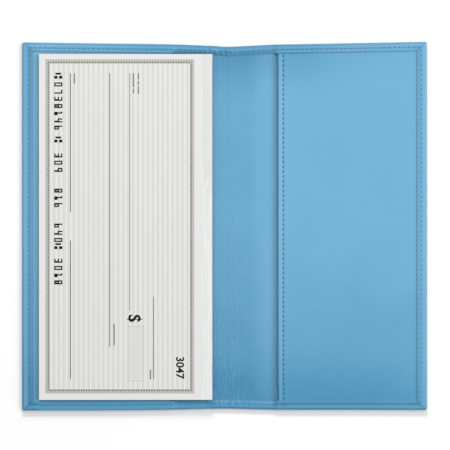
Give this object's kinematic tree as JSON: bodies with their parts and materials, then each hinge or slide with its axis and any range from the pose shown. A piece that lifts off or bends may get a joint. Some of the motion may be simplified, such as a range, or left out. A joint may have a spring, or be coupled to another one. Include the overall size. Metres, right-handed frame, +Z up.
{
  "type": "checkbook cover",
  "caption": "Leather checkbook cover lying open flat, with a sewn turned edge, a pocket on each side and a pad of checks held in the left pocket. It folds shut like a book.",
  "frame": {"origin": "centre of the open cover's outline, on the surface it lies on", "axes": "+X from the pad's side to the free pocket's side, +Y along the spine towards the head, +Z up out of the open cover"},
  "size_m": [0.1788, 0.1622, 0.0067],
  "materials": {
    "leather": "satin",
    "lining": "satin",
    "thread": "matte",
    "fibre_sheet": "matte",
    "card": "matte",
    "check_paper": "matte",
    "binding": "satin"
  },
  "bodies": {
    "left_cover": {"left_leather": "leather", "left_reinforcement": "fibre_sheet", "left_lining": "lining", "left_pocket": "leather", "left_rim_stitching": "thread", "left_pocket_stitching": "thread"},
    "spine": {"spine_leather": "leather", "spine_reinforcement": "fibre_sheet", "spine_lining": "lining", "spine_rim_stitching": "thread"},
    "right_cover": {"right_leather": "leather", "right_reinforcement": "fibre_sheet", "right_lining": "lining", "right_pocket": "leather", "right_rim_stitching": "thread", "right_pocket_stitching": "thread"},
    "check_pad": {"backing_card": "card", "check_leaves": "check_paper", "top_check": "check_paper", "binding_strip": "binding"}
  },
  "joints": [
    {"name": "fold", "type": "hinge", "parent": "left_cover", "child": "right_cover", "pos_m": [0, 0, 0.0053], "axis": [0, -1, 0], "range_deg": [0, 179.9]},
    {"name": "spine_fold", "type": "hinge", "parent": "left_cover", "child": "spine", "pos_m": [-0.003, 0, 0.0023], "axis": [0, -1, 0], "range_deg": [0, 90], "deforming": ["spine_leather", "spine_reinforcement", "spine_lining", "spine_rim_stitching"]},
    {"name": "pad_slide", "type": "slide", "parent": "left_cover", "child": "check_pad", "axis": [-1, 0, 0], "range_m": [-0.04, 0]}
  ],
  "couplings": [
    {"joint": "spine_fold", "follows": "fold", "ratio": 0.5}
  ]
}
